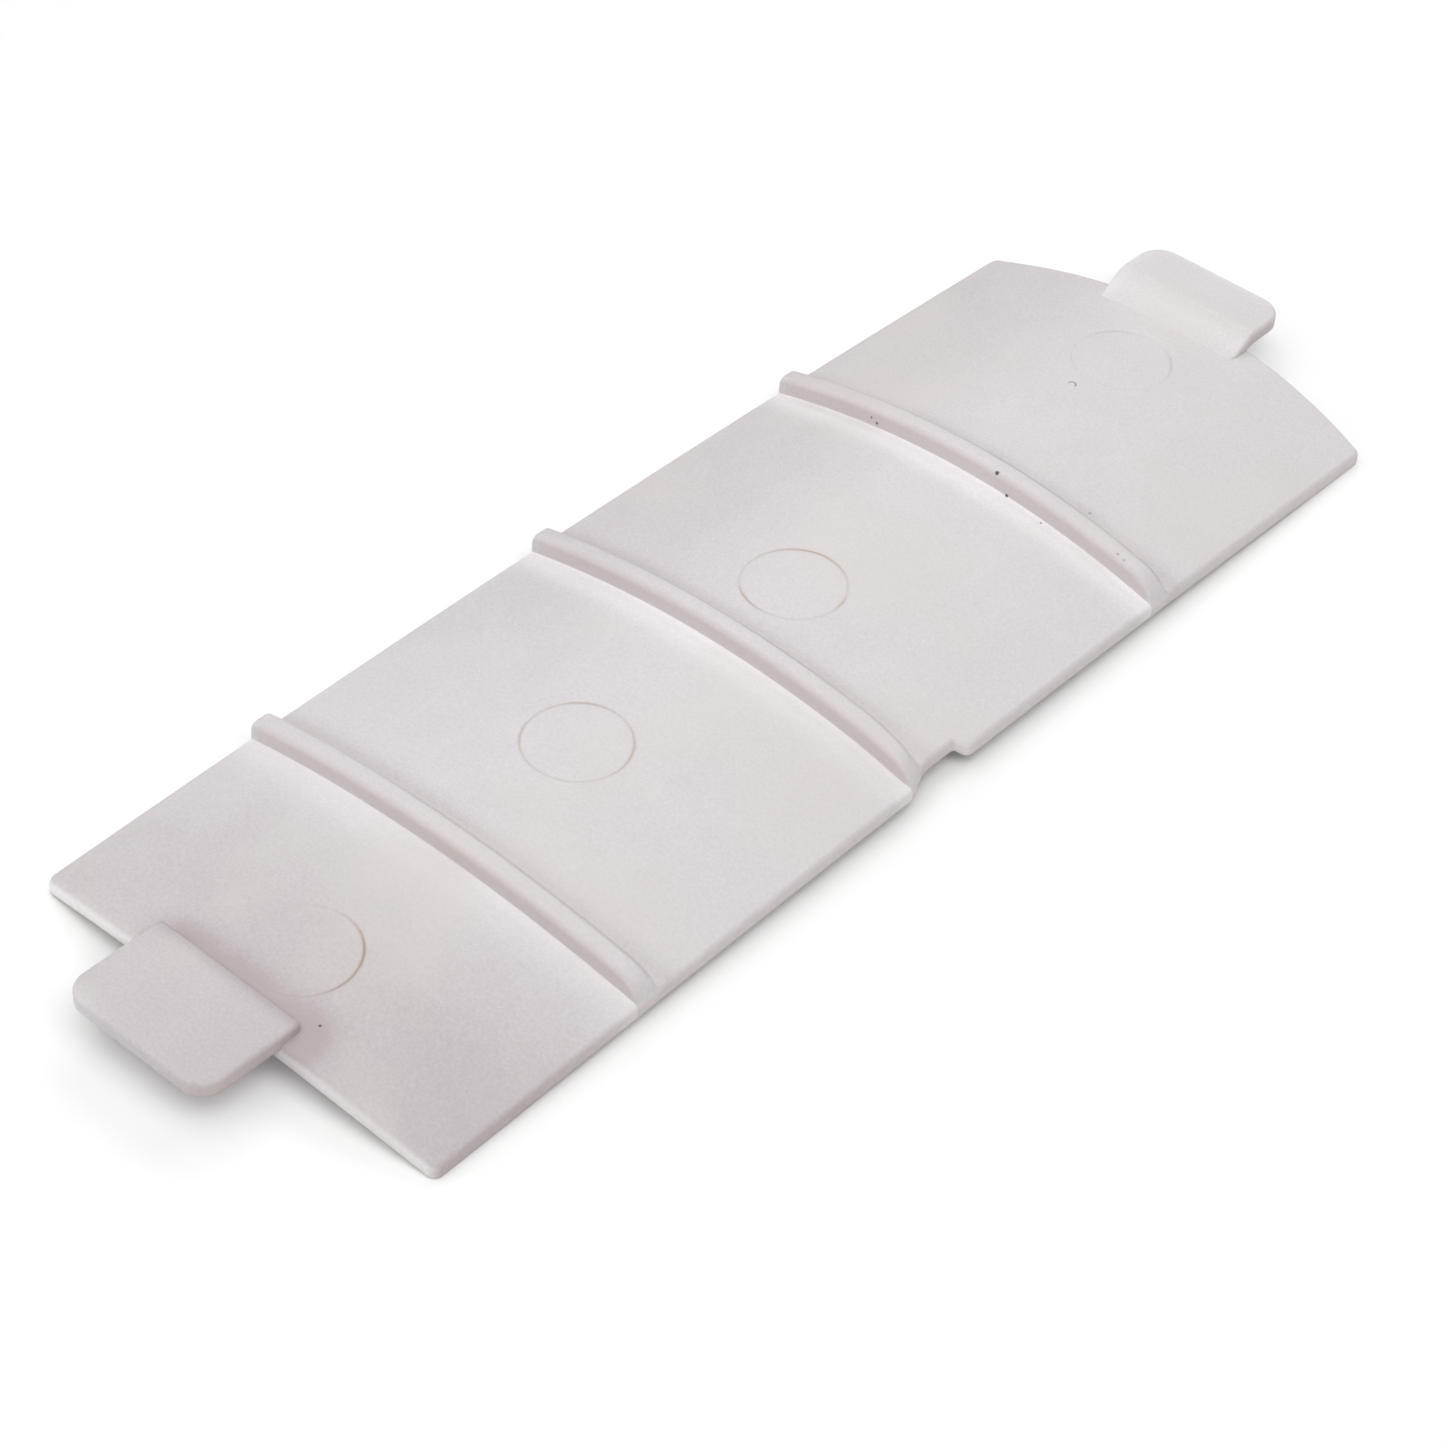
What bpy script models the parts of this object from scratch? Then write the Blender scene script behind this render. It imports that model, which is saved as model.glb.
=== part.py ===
"""A thin crowned strip moulding, with three raised cross ribs and a stepped tab at each end.

Metres, +Z up.  +X runs across the strip and +Y along it, toward the end with the sloped tab.
The origin lies on the supporting surface, below the middle of the strip's outline.

The real object is one moulding.  Its strip, ribs and tabs are modelled as separate solids with a
small parting gap between them.
"""

import math

import bmesh
import bpy

# Strip: its outline is a rectangle whose two ends bulge outward, and it is arched both ways.
STRIP_WIDTH = 0.0460
STRIP_LENGTH = 0.1290
NEAR_END_BULGE = 0.00125
FAR_END_BULGE = 0.00325
WALL = 0.0014
CROWN = 0.00285
CAMBER = 0.0013
CORNER_RADIUS = 0.0009
CORNER_LOSS = 0.00008
TOP_EDGE_RADIUS = 0.0006
BOTTOM_EDGE_RADIUS = 0.0002
CELLS_ACROSS = 20
CELLS_ALONG = 26

# Ribs: each one starts at RIB_FRONTS and follows the crown from edge to edge.
RIB_FRONTS = {"near_rib": -0.0410, "middle_rib": -0.0056, "far_rib": 0.0296}
RIB_WIDTH = 0.0025
RIB_HEIGHT = 0.00185
RIB_TOP_RADIUS = 0.0007
RIB_BOW = 0.0143
RIB_LEFT_INSET = 0.0001
RIB_RIGHT_INSET = 0.0003
RIB_END_RADIUS = 0.0014

# Tabs: flat tongues one step above the strip, reaching out past its ends.
NEAR_TAB_CENTRE_X = -0.0017
FAR_TAB_CENTRE_X = -0.0014
TAB_WIDTH = 0.0166
TAB_REACH = 0.0738
TAB_CORNER_RADIUS = 0.0025
TAB_EDGE_RADIUS = 0.0004
NEAR_TAB_TOP = 0.00500
NEAR_TAB_INNER = -0.0630
FAR_TAB_TOP = 0.00560
FAR_TAB_FOOT = 0.0642
FAR_TAB_CREST = 0.0684
FAR_TAB_FOOT_TOP = 0.00392

# Gate pocket in the strip's right edge, just past the middle rib.
POCKET_DEPTH = 0.00134
POCKET_MOUTH = -0.0060
POCKET_FLOOR = -0.0018
POCKET_END = 0.0019
POCKET_RADIUS = 0.0010

PARTING_GAP = 0.0003


def clear_scene():
    for obj in list(bpy.data.objects):
        bpy.data.objects.remove(obj, do_unlink=True)


def new_collection(name, hidden=False):
    collection = bpy.data.collections.new(name)
    collection.hide_render = hidden
    bpy.context.scene.collection.children.link(collection)
    return collection


def plastic(name, colour, roughness):
    material = bpy.data.materials.new(name)
    material.use_nodes = True
    shader = material.node_tree.nodes["Principled BSDF"]
    shader.inputs["Base Color"].default_value = (*colour, 1.0)
    shader.inputs["Roughness"].default_value = roughness
    shader.inputs["Metallic"].default_value = 0.0
    return material


def add_object(name, bm, collection, material=None):
    bmesh.ops.recalc_face_normals(bm, faces=bm.faces)
    mesh = bpy.data.meshes.new(name)
    bm.to_mesh(mesh)
    bm.free()
    obj = bpy.data.objects.new(name, mesh)
    collection.objects.link(obj)
    if material:
        mesh.materials.append(material)
        mesh.shade_smooth()
        mesh.set_sharp_from_angle(angle=math.radians(35))
    else:
        obj.hide_render = True
        obj.display_type = "WIRE"
    return obj


def strip_top(x, y):
    """Height of the strip's upper surface: an arch across it plus a shallower one along it.

    Rounding the corners takes away the lowest CORNER_LOSS, so the whole strip stands lower by it.
    """
    across = 1 - (2 * x / STRIP_WIDTH) ** 2
    along = 1 - (2 * y / STRIP_LENGTH) ** 2
    return WALL + CROWN * across + CAMBER * along - CORNER_LOSS


def end_bulge(x):
    return 1 - (2 * x / STRIP_WIDTH) ** 2


def strip_point(across, along, grow=0.0):
    """Plan position for across and along in -1..1; the ends follow their bulged outline."""
    x = across * (STRIP_WIDTH / 2 + grow)
    bulge = FAR_END_BULGE if along > 0 else NEAR_END_BULGE
    end = STRIP_LENGTH / 2 + grow + bulge * max(end_bulge(x), 0)
    return x, along * end


def bent_sheet(thickness, grow=0.0, lift=0.0):
    """A grid bent to the strip's arch and extruded straight down by its thickness."""
    bm = bmesh.new()
    bmesh.ops.create_grid(bm, x_segments=CELLS_ACROSS, y_segments=CELLS_ALONG, size=1)
    for vert in bm.verts:
        x, y = strip_point(vert.co.x, vert.co.y, grow)
        vert.co = (x, y, strip_top(x, y) + lift)
    made = bmesh.ops.extrude_face_region(bm, geom=bm.faces[:])
    lower = [item for item in made["geom"] if isinstance(item, bmesh.types.BMVert)]
    bmesh.ops.translate(bm, verts=lower, vec=(0, 0, -thickness))
    bmesh.ops.recalc_face_normals(bm, faces=bm.faces)
    return bm


def bevel_edges(bm, edges, radius, segments):
    bmesh.ops.bevel(
        bm,
        geom=edges,
        offset=radius,
        segments=segments,
        profile=0.5,
        affect="EDGES",
        clamp_overlap=True,
    )


def is_upright(edge):
    first, second = (vert.co for vert in edge.verts)
    return math.hypot(first.x - second.x, first.y - second.y) < 1e-6


def rim_edges(bm, upper):
    """The edges between the outer walls and the upper (or the lower) surface."""
    found = []
    for edge in bm.edges:
        normals = [face.normal.z for face in edge.link_faces]
        if len(normals) != 2 or min(map(abs, normals)) > 0.5:
            continue
        level = max(normals) if upper else -min(normals)
        if level > 0.5:
            found.append(edge)
    return found


def make_strip(collection, material):
    bm = bent_sheet(WALL)
    corners = [
        edge
        for edge in bm.edges
        if is_upright(edge) and edge.calc_face_angle(0) > math.radians(45)
    ]
    bevel_edges(bm, corners, CORNER_RADIUS, 3)
    bevel_edges(bm, rim_edges(bm, upper=True), TOP_EDGE_RADIUS, 3)
    bevel_edges(bm, rim_edges(bm, upper=False), BOTTOM_EDGE_RADIUS, 1)
    return add_object("crowned_strip", bm, collection, material)


def smooth_step(value):
    value = min(max(value, 0.0), 1.0)
    return value * value * (3 - 2 * value)


def arc(centre_x, centre_y, radius, start, stop, steps=8):
    for step in range(steps + 1):
        angle = math.radians(start + (stop - start) * step / steps)
        yield centre_x + radius * math.cos(angle), centre_y + radius * math.sin(angle)


def make_pocket_cutter(collection):
    """A prism with the pocket's plan: one end sweeps in along a soft S, the other is a step."""
    floor_x = STRIP_WIDTH / 2 - POCKET_DEPTH
    outside_x = STRIP_WIDTH / 2 + 0.003
    outline = []
    for step in range(10, -1, -1):
        x = STRIP_WIDTH / 2 - POCKET_DEPTH * smooth_step(step / 10)
        outline.append((x, POCKET_MOUTH + (POCKET_FLOOR - POCKET_MOUTH) * step / 10))
    outline.append((outside_x, POCKET_MOUTH))
    outline.append((outside_x, POCKET_END + POCKET_RADIUS))
    corner_y = POCKET_END + POCKET_RADIUS
    outline += list(arc(STRIP_WIDTH / 2 - POCKET_RADIUS, corner_y, POCKET_RADIUS, 0, -90, 5))
    outline += list(arc(floor_x + 0.0003, POCKET_END - 0.0003, 0.0003, 90, 180, 3))
    bm = bmesh.new()
    floor = bm.faces.new([bm.verts.new((x, y, -0.002)) for x, y in outline])
    made = bmesh.ops.extrude_face_region(bm, geom=[floor])
    upper = [item for item in made["geom"] if isinstance(item, bmesh.types.BMVert)]
    bmesh.ops.translate(bm, verts=upper, vec=(0, 0, 0.012))
    return add_object("pocket_cutter", bm, collection)


def cut(obj, cutter):
    modifier = obj.modifiers.new(cutter.name, "BOOLEAN")
    modifier.operation = "DIFFERENCE"
    modifier.solver = "EXACT"
    modifier.object = cutter


def box(x_range, y_range, z_range):
    bm = bmesh.new()
    bmesh.ops.create_cube(bm, size=1)
    for vert in bm.verts:
        vert.co.x = x_range[vert.co.x > 0]
        vert.co.y = y_range[vert.co.y > 0]
        vert.co.z = z_range[vert.co.z > 0]
    bm.normal_update()
    return bm


def edges_where(bm, test):
    return [edge for edge in bm.edges if all(test(vert.co) for vert in edge.verts)]


def slice_along(bm, axis, start, stop, count):
    """Cuts across a box at equal steps, so that it can be bent."""
    for step in range(1, count):
        place = [0.0, 0.0, 0.0]
        place[axis] = start + (stop - start) * step / count
        normal = [0.0, 0.0, 0.0]
        normal[axis] = 1.0
        everything = bm.verts[:] + bm.edges[:] + bm.faces[:]
        bmesh.ops.bisect_plane(bm, geom=everything, plane_co=place, plane_no=normal, dist=1e-7)


def make_rib(name, front, collection, material):
    """A bar rounded along its top and down at its right end, then bent to the strip's arch."""
    left = -STRIP_WIDTH / 2 + RIB_LEFT_INSET
    right = STRIP_WIDTH / 2 - RIB_RIGHT_INSET
    height = RIB_HEIGHT - PARTING_GAP
    bm = box((left, right), (front, front + RIB_WIDTH), (0.0, height))
    right_top = edges_where(bm, lambda co: co.z > height - 1e-6 and co.x > right - 1e-6)
    bevel_edges(bm, right_top, RIB_END_RADIUS, 4)
    sides = [
        edge
        for edge in bm.edges
        if all(vert.co.z > 1e-6 for vert in edge.verts)
        and abs(edge.verts[0].co.y - edge.verts[1].co.y) < 1e-7
    ]
    bevel_edges(bm, sides, RIB_TOP_RADIUS, 4)
    slice_along(bm, 0, left, right, CELLS_ACROSS)
    for vert in bm.verts:
        vert.co.y += RIB_BOW * front * end_bulge(vert.co.x)
        vert.co.z += strip_top(vert.co.x, vert.co.y) + PARTING_GAP
    return add_object(name, bm, collection, material)


def make_near_tab(collection, material, cutter):
    """A flat tongue with an upright inner face, lying on the strip's end and reaching past it."""
    left = NEAR_TAB_CENTRE_X - TAB_WIDTH / 2
    right = NEAR_TAB_CENTRE_X + TAB_WIDTH / 2
    top = NEAR_TAB_TOP
    bm = box((left, right), (-TAB_REACH, NEAR_TAB_INNER), (top - WALL, top))
    outer = [
        edge
        for edge in bm.edges
        if is_upright(edge) and edge.verts[0].co.y < NEAR_TAB_INNER - 1e-6
    ]
    bevel_edges(bm, outer, TAB_CORNER_RADIUS, 6)
    bevel_edges(bm, edges_where(bm, lambda co: co.z > top - 1e-7), TAB_EDGE_RADIUS, 3)
    tab = add_object("near_tab", bm, collection, material)
    cut(tab, cutter)
    return tab


def make_far_tab(collection, material, cutter):
    """A tongue that slopes up from the strip in a soft S and runs out flat past its end."""
    left = FAR_TAB_CENTRE_X - TAB_WIDTH / 2
    right = FAR_TAB_CENTRE_X + TAB_WIDTH / 2
    top = FAR_TAB_TOP
    bm = box((left, right), (FAR_TAB_FOOT, TAB_REACH), (top - WALL, top))
    outer = [
        edge
        for edge in bm.edges
        if is_upright(edge) and edge.verts[0].co.y > FAR_TAB_FOOT + 1e-6
    ]
    bevel_edges(bm, outer, TAB_CORNER_RADIUS, 6)
    bevel_edges(bm, edges_where(bm, lambda co: co.z > top - 1e-7), TAB_EDGE_RADIUS, 3)
    slice_along(bm, 1, FAR_TAB_FOOT, FAR_TAB_CREST, 10)
    for vert in bm.verts:
        risen = smooth_step((vert.co.y - FAR_TAB_FOOT) / (FAR_TAB_CREST - FAR_TAB_FOOT))
        vert.co.z -= (1 - risen) * (FAR_TAB_TOP - FAR_TAB_FOOT_TOP)
    tab = add_object("far_tab", bm, collection, material)
    cut(tab, cutter)
    return tab


def main():
    clear_scene()
    parts = new_collection("crowned_strip_with_end_tabs")
    cutters = new_collection("cutters", hidden=True)
    white = plastic("white_moulding", (0.72, 0.69, 0.69), 0.5)
    rib_white = plastic("white_rib", (0.71, 0.68, 0.68), 0.5)
    tab_white = plastic("white_tab", (0.73, 0.70, 0.70), 0.48)

    strip = make_strip(parts, white)
    pocket_cutter = make_pocket_cutter(cutters)
    cut(strip, pocket_cutter)
    for name, front in RIB_FRONTS.items():
        rib = make_rib(name, front, parts, rib_white)
        if name == "middle_rib":
            cut(rib, pocket_cutter)
    clearance = bent_sheet(WALL + 0.0040, grow=PARTING_GAP, lift=PARTING_GAP)
    clearance = add_object("strip_clearance", clearance, cutters)
    make_near_tab(parts, tab_white, clearance)
    make_far_tab(parts, tab_white, clearance)


main()
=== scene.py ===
import math

import bpy
import numpy as np
from mathutils import Matrix, Vector


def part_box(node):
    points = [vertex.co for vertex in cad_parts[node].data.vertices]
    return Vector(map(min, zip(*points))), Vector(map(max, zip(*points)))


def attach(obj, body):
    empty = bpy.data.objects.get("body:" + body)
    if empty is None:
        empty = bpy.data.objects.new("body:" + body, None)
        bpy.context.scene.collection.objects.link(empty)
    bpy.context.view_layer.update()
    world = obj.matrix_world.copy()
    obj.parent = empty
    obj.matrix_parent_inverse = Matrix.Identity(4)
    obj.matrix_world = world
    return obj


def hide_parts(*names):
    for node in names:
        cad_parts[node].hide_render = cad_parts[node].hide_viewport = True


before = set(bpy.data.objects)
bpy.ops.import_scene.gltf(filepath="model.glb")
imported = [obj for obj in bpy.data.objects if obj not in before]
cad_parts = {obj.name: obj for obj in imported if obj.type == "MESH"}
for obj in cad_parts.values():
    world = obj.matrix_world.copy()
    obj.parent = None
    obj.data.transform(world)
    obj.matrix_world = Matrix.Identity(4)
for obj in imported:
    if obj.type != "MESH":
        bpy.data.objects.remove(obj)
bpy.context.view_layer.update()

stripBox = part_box("crowned_strip")
strip = {
    "halfWidth": (stripBox[1][0] - stripBox[0][0]) / 2,
    "halfLength": 0.0645,        # corner to corner, before the ends bulge
    "nearBulge": 0.00125,
    "farBulge": 0.00325,
    "wall": 0.0014,
    "crown": 0.00285,            # rise across the width, and along the length
    "camber": 0.0013,
    "cornerLoss": 0.00008,       # what rounding the corners takes off the lowest points
    "rim": 0.0009,               # width of the rounded border, and the corner radius
    "leftRadius": 0.00014,
    "rightRadius": 0.0004,
    "nearRadius": 0.0009,
    "farRadius": 0.0005,
    "underRadius": 0.00018,
    "lowest": 0.000004,          # nothing goes under this
    "pitch": 0.0010,             # spacing of the plain rows and columns
    "ladderSteps": 400,          # for turning a place on the surface back into its row
    "cornerSteps": 6,
    "edgeSteps": 12,
    "underSteps": 4,
    "shares": (0.25, 0.5, 0.75),  # rows on the flat of the border, and down its wall
}
ribs = {
    "fronts": [-0.0410, -0.0056, 0.0296],
    "width": 0.0025,
    "height": 0.00185,
    "frontRadius": 0.0006,
    "backRadius": 0.0009,
    "frontFoot": 0.0001,
    "backFoot": 0.0005,
    "draft": 0.00006,
    "bow": 0.0143,               # bow at mid-width for each metre from the strip's middle
    "endStart": 0.0203,          # where the right end starts to round down, and where it is gone
    "endStop": 0.02275,
    "leftRadius": 0.0002,
    "clear": 0.00005,            # anything higher than this belongs to a rib
    "footSteps": 6,
    "wallSteps": 6,
    "topSteps": 8,
    "endColumns": 10,
}
pinMarks = {
    "centres": [(0.00048, -0.05712), (-0.0002, -0.0238), (-0.0006, 0.00558), (-0.0007, 0.0561)],
    "radius": 0.0050,
    "halfSquare": (0.0066, 0.0062),
    "cells": 36,
    "sink": 0.000012,            # how far the disc lies under the surface
    "sinkWidth": 2,              # in groove widths
    "groove": 0.000025,
    "grooveWidth": 0.00006,
    "rings": [1.09, 1.06, 1.04, 1.028, 1.02, 1.012, 1.006, 1.0, 0.994, 0.988,
              0.98, 0.97, 0.95, 0.91, 0.84, 0.74, 0.6, 0.44, 0.28, 0.12],    # shares of the radius
    "stainWidth": 2.3,           # in groove widths
    "stains": [(0.04, [(40, 42, 0.62), (-8, 20, 0.30)]),   # all round, then arcs: heading, half-width, amount
               (0.16, [(125, 30, 0.28), (28, 35, 0.25), (215, 22, 0.2)]),
               (0.10, [(110, 52, 0.45), (252, 20, 0.42), (12, 12, 0.3)]),
               (0.02, [(135, 32, 0.22), (35, 28, 0.2)])],
}
pocket = {
    "depth": 0.00134,
    "mouth": -0.0060,            # where the side starts to sweep in, and where it has arrived
    "floor": -0.0018,
    "end": 0.0019,
    "corner": 0.0010,
    "innerCorner": 0.0003,
    "reach": 0.0060,             # how far into the strip the grid is drawn along with it
    "sweepSteps": 23,
    "innerSteps": 5,
    "outerSteps": 8,
    "lookAhead": 0.00012,        # half the length over which the edge's heading is read
}


def smoothStep(value):
    # 3 t squared less 2 t cubed, flat at nothing below 0 and at one above 1
    t = np.clip(value, 0.0, 1.0)
    return t * t * (3 - 2 * t)


def stripTop(x, y):
    # A parabola across, a flatter one along, added to the wall thickness
    across = 1 - (x / strip["halfWidth"]) ** 2
    along = 1 - (y / strip["halfLength"]) ** 2
    return strip["wall"] + strip["crown"] * across + strip["camber"] * along - strip["cornerLoss"]


def arcPoints(centreX, centreY, radius, start, stop, steps):
    # Points at even angles on a circle
    angle = np.radians(np.linspace(start, stop, steps + 1))
    return np.stack([centreX + radius * np.cos(angle), centreY + radius * np.sin(angle)], axis=1)


def ribHalf(foot, top):
    # Foot fillet, drafted wall and rounded top of one side: (place from the wall's foot, height) pairs
    height, draft = ribs["height"], ribs["draft"]
    lower = arcPoints(-foot, foot, foot, -90, 0, ribs["footSteps"])
    share = np.linspace(0, 1, ribs["wallSteps"])[1:-1, None]
    wall = np.array([0, foot]) * (1 - share) + np.array([draft, height - top]) * share
    upper = arcPoints(draft + top, height - top, top, 180, 90, ribs["topSteps"])
    return np.concatenate([lower, wall, upper])


def ribSection(front):
    # The front side, then the back side mirrored
    nearSide = ribHalf(ribs["frontFoot"], ribs["frontRadius"]) + [front, 0]
    farSide = ribHalf(ribs["backFoot"], ribs["backRadius"])[::-1] * [-1, 1] + [front + ribs["width"], 0]
    return np.concatenate([nearSide, farSide])


def ribEndFactor(x):
    # One along the rib, then a quarter circle down to nothing at its right end
    t = np.clip((x - ribs["endStart"]) / (ribs["endStop"] - ribs["endStart"]), 0, 1)
    return np.sqrt(np.maximum(1 - t * t, 0))


def rowBow(places):
    # How far a row bows outward at mid-width: a straight-line blend between the ribs and the ends
    end = strip["halfLength"] - strip["rim"]
    stops = [-end] + ribs["fronts"] + [end]
    bows = [-strip["nearBulge"]] + [ribs["bow"] * front for front in ribs["fronts"]] + [strip["farBulge"]]
    return np.interp(places, stops, bows)


def plainRows(start, stop, pitch):
    # Evenly spaced places between two others, without the two
    count = max(int(math.ceil((stop - start) / pitch)), 1)
    return np.linspace(start, stop, count + 1)[1:-1]


def stripRows():
    # Every row's place along the strip, its rib height, and the first row of each pin mark's square
    end = strip["halfLength"] - strip["rim"]
    halfSquare = pinMarks["halfSquare"][1]
    blocks = [(front - ribs["frontFoot"], "rib", front) for front in ribs["fronts"]]
    ladder = np.linspace(-end, end, strip["ladderSteps"])
    for x, y in pinMarks["centres"]:
        middle = np.interp(y, ladder + rowBow(ladder) * (1 - (x / strip["halfWidth"]) ** 2), ladder)
        blocks.append((middle - halfSquare, "mark", middle))
    blocks.sort()
    places, heights, marks = [np.array([-end])], [np.zeros(1)], []
    at, count = -end, 1
    for start, kind, value in blocks:
        fill = plainRows(at, start, strip["pitch"])
        if kind == "rib":
            section = ribSection(value)
        else:
            square = np.linspace(start, start + 2 * halfSquare, pinMarks["cells"] + 1)
            section = np.stack([square, 0 * square], axis=1)
            marks.append(count + len(fill))
        places += [fill, section[:, 0]]
        heights += [0 * fill, section[:, 1]]
        count += len(fill) + len(section)
        at = section[-1, 0]
    fill = np.append(plainRows(at, end, strip["pitch"]), end)
    places.append(fill)
    heights.append(0 * fill)
    return np.concatenate(places), np.concatenate(heights), marks


def stripColumns():
    # Even columns, finer through the pin marks and where the ribs round down; and the marks' first column
    edge = strip["halfWidth"] - strip["rim"]
    half = pinMarks["halfSquare"][0]
    marks = np.linspace(-half, half, pinMarks["cells"] + 1)
    left = np.append(-edge, plainRows(-edge, -half, strip["pitch"]))
    right = plainRows(half, ribs["endStart"], strip["pitch"])
    roundDown = np.linspace(ribs["endStart"], edge, ribs["endColumns"])
    return np.concatenate([left, marks, right, roundDown]), len(left)


def rightOutline(places):
    # The right edge as a path: straight, an S curve in, the pocket floor, a step out, straight.
    # Its outward normal is the heading, read a little before and after, turned a quarter.
    half, radius, inner = strip["halfWidth"], pocket["corner"], pocket["innerCorner"]
    floorX, arrived = half - pocket["depth"], pocket["sweepSteps"]
    share = np.linspace(0, 1, arrived + 1)
    sweepY = pocket["mouth"] + (pocket["floor"] - pocket["mouth"]) * share
    path = np.concatenate([
        np.stack([half - pocket["depth"] * smoothStep(share), sweepY], axis=1),
        arcPoints(floorX + inner, pocket["end"] - inner, inner, 180, 90, pocket["innerSteps"]),
        arcPoints(half - radius, pocket["end"] + radius, radius, -90, 0, pocket["outerSteps"]),
    ])
    length = np.append(0, np.cumsum(np.hypot(*np.diff(path, axis=0).T)))
    stops = [0, length[arrived], length[-1]]
    along = np.interp(places, [path[0, 1], path[arrived, 1], path[-1, 1]], stops)
    inside = (places > path[0, 1]) & (places < path[-1, 1])
    x = np.where(inside, np.interp(along, length, path[:, 0]), half)
    y = np.where(inside, np.interp(along, length, path[:, 1]), places)
    ahead = np.stack([np.interp(along + pocket["lookAhead"], length, path[:, k]) for k in (0, 1)])
    behind = np.stack([np.interp(along - pocket["lookAhead"], length, path[:, k]) for k in (0, 1)])
    heading = ahead - behind
    heading[:, ~inside] = [[0.0], [1.0]]
    heading /= np.linalg.norm(heading, axis=0)
    return x, y, heading[1], -heading[0]


# Tones are factors on the plain white; most of them are painted light and shade. A triple is: where it
# starts, over what length, how much.
paintedLightAndEdge = {
    "plain": 0.97,
    "nearEndShade": (0.038, 0.020, 0.15),     # painted shade: the near end darker
    "nearEndShadeSkew": 0.35,                    # more of it toward the right
    # painted shade: the left side darker
    "leftShade": (0.002, 0.014, 0.08),
    "leftShadeFrom": (-0.035, 0.04),      # but not at the near end
    "glow": (0.0019, (0.23, 0.33, 0.31)),   # painted light: the bright band before each rib, standing in for light thrown off its front wall: reach and strengths
    "glowPower": 1.8,
    "glowOverlap": 0.0005,
    "ribShadow": (0.0012, 0.0011, 0.13),      # painted shadow: the dark line behind each rib: place, reach and strength
    "ribBack": (0.0007, -0.12, 0.15),    # painted shade on the ribs' backs: how near the wall, tone, blush
    "ribBackFrom": (-0.012, 0.02),       # the left end stays light
    "ribFront": (0.00045, 0.6),          # pink painted on the ribs' shaded fronts: how near the wall, blush
    "root": (-0.0080, 0.0072, -0.0630, 0.0024, 0.26),   # painted shadow around the near tab's root: left, right, inner, reach, strength
    "wallFrom": (0.3, 0.25),             # share of the way over the border, and over what share
    # painted light on the near wall; the right wall's tone, with painted shade toward its near end
    "nearWall": 0.40,
    "rightWall": 0.04,
    "rightWallShade": (0.035, 0.02, 0.16),
    # pink painted on the near and right walls along with their light and shade
    "nearBlush": 0.25,
    "rightBlush": 0.7,
    "lowEdgeBrownFrom": (0.78, 0.2),             # the same for the brown at the lower edge
    "lowEdgeBrown": 0.12,
    "nearLowEdgeBrown": (0.004, 0.01, 0.5),
    "rightLowEdgeBrown": 0.1,
}


def plateTone(x, y, height=0):
    # The plain plate's tone with painted shade toward the near end and the left, plus bell curves along each
    # rib (painted light before it, painted shadow behind it) and painted shadow around the near tab's root
    # Painted shade toward the near end and toward the left
    start, length, amount = paintedLightAndEdge["nearEndShade"]
    skew = 1 + paintedLightAndEdge["nearEndShadeSkew"] * x / strip["halfWidth"]
    tone = paintedLightAndEdge["plain"] - amount * smoothStep((-y - start) / length) * skew
    start, length, amount = paintedLightAndEdge["leftShade"]
    begin, span = paintedLightAndEdge["leftShadeFrom"]
    tone = tone - amount * smoothStep((-x - start) / length) * smoothStep((y - begin) / span)
    bow = 1 - (x / strip["halfWidth"]) ** 2
    reach, amounts = paintedLightAndEdge["glow"]
    place, spread, ribShadow = paintedLightAndEdge["ribShadow"]
    for front, strength in zip(ribs["fronts"], amounts):
        # painted light before each rib, painted shadow behind it
        ahead = front + ribs["bow"] * front * bow - y
        onPlate = (ahead > -paintedLightAndEdge["glowOverlap"]) * (height < ribs["clear"])
        tone = tone + strength * np.exp(-(np.maximum(ahead, 0) / reach) ** paintedLightAndEdge["glowPower"]) * onPlate
        behind = (-ahead - ribs["width"] - place) / spread
        tone = tone - ribShadow * np.exp(-behind * behind)
    # painted shadow around the near tab's root
    left, right, inner, reach, amount = paintedLightAndEdge["root"]
    apart = np.hypot(np.maximum(np.maximum(left - x, x - right), 0), np.maximum(y - inner, 0))
    return tone - amount * np.exp(-(apart / reach) ** 2)


def ribTone(places, heights, x):
    # Painted shade: the ribs' backs are a little darker than their tops, and the fronts a little pinker
    start, length = paintedLightAndEdge["ribBackFrom"]
    across = smoothStep((x - start) / length)
    frontReach, frontBlush = paintedLightAndEdge["ribFront"]
    backReach, backTone, backBlush = paintedLightAndEdge["ribBack"]
    tone, blush = 0 * x, 0 * x
    for front in ribs["fronts"]:
        onFront = ((heights > ribs["clear"]) & (abs(places - front) < frontReach))[:, None]
        onBack = ((heights > ribs["clear"]) & (abs(places - front - ribs["width"]) < backReach))[:, None]
        tone = tone + backTone * onBack * across
        blush = blush + frontBlush * onFront + backBlush * onBack
    return tone, blush


def gridFaces(index):
    # Four corners of every cell of a grid of vertex numbers
    return np.stack([index[:-1, :-1], index[:-1, 1:], index[1:, 1:], index[1:, :-1]], axis=-1).reshape(-1, 4)


def loopFaces(inner, outer):
    # Cells between two closed rings of vertex numbers
    return np.stack([inner, outer, np.roll(outer, -1), np.roll(inner, -1)], axis=-1)


def cleanFaces(faces):
    # Cells with a repeated corner lose the second of the pair and become triangles
    same = faces == np.roll(faces, -1, axis=1)
    repeated = same.any(axis=1)
    lost = np.minimum(same[repeated].argmax(axis=1) + 1, 3)
    triangles = faces[repeated][np.arange(4) != lost[:, None]].reshape(-1, 3)
    return [faces[~repeated], triangles]


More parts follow.
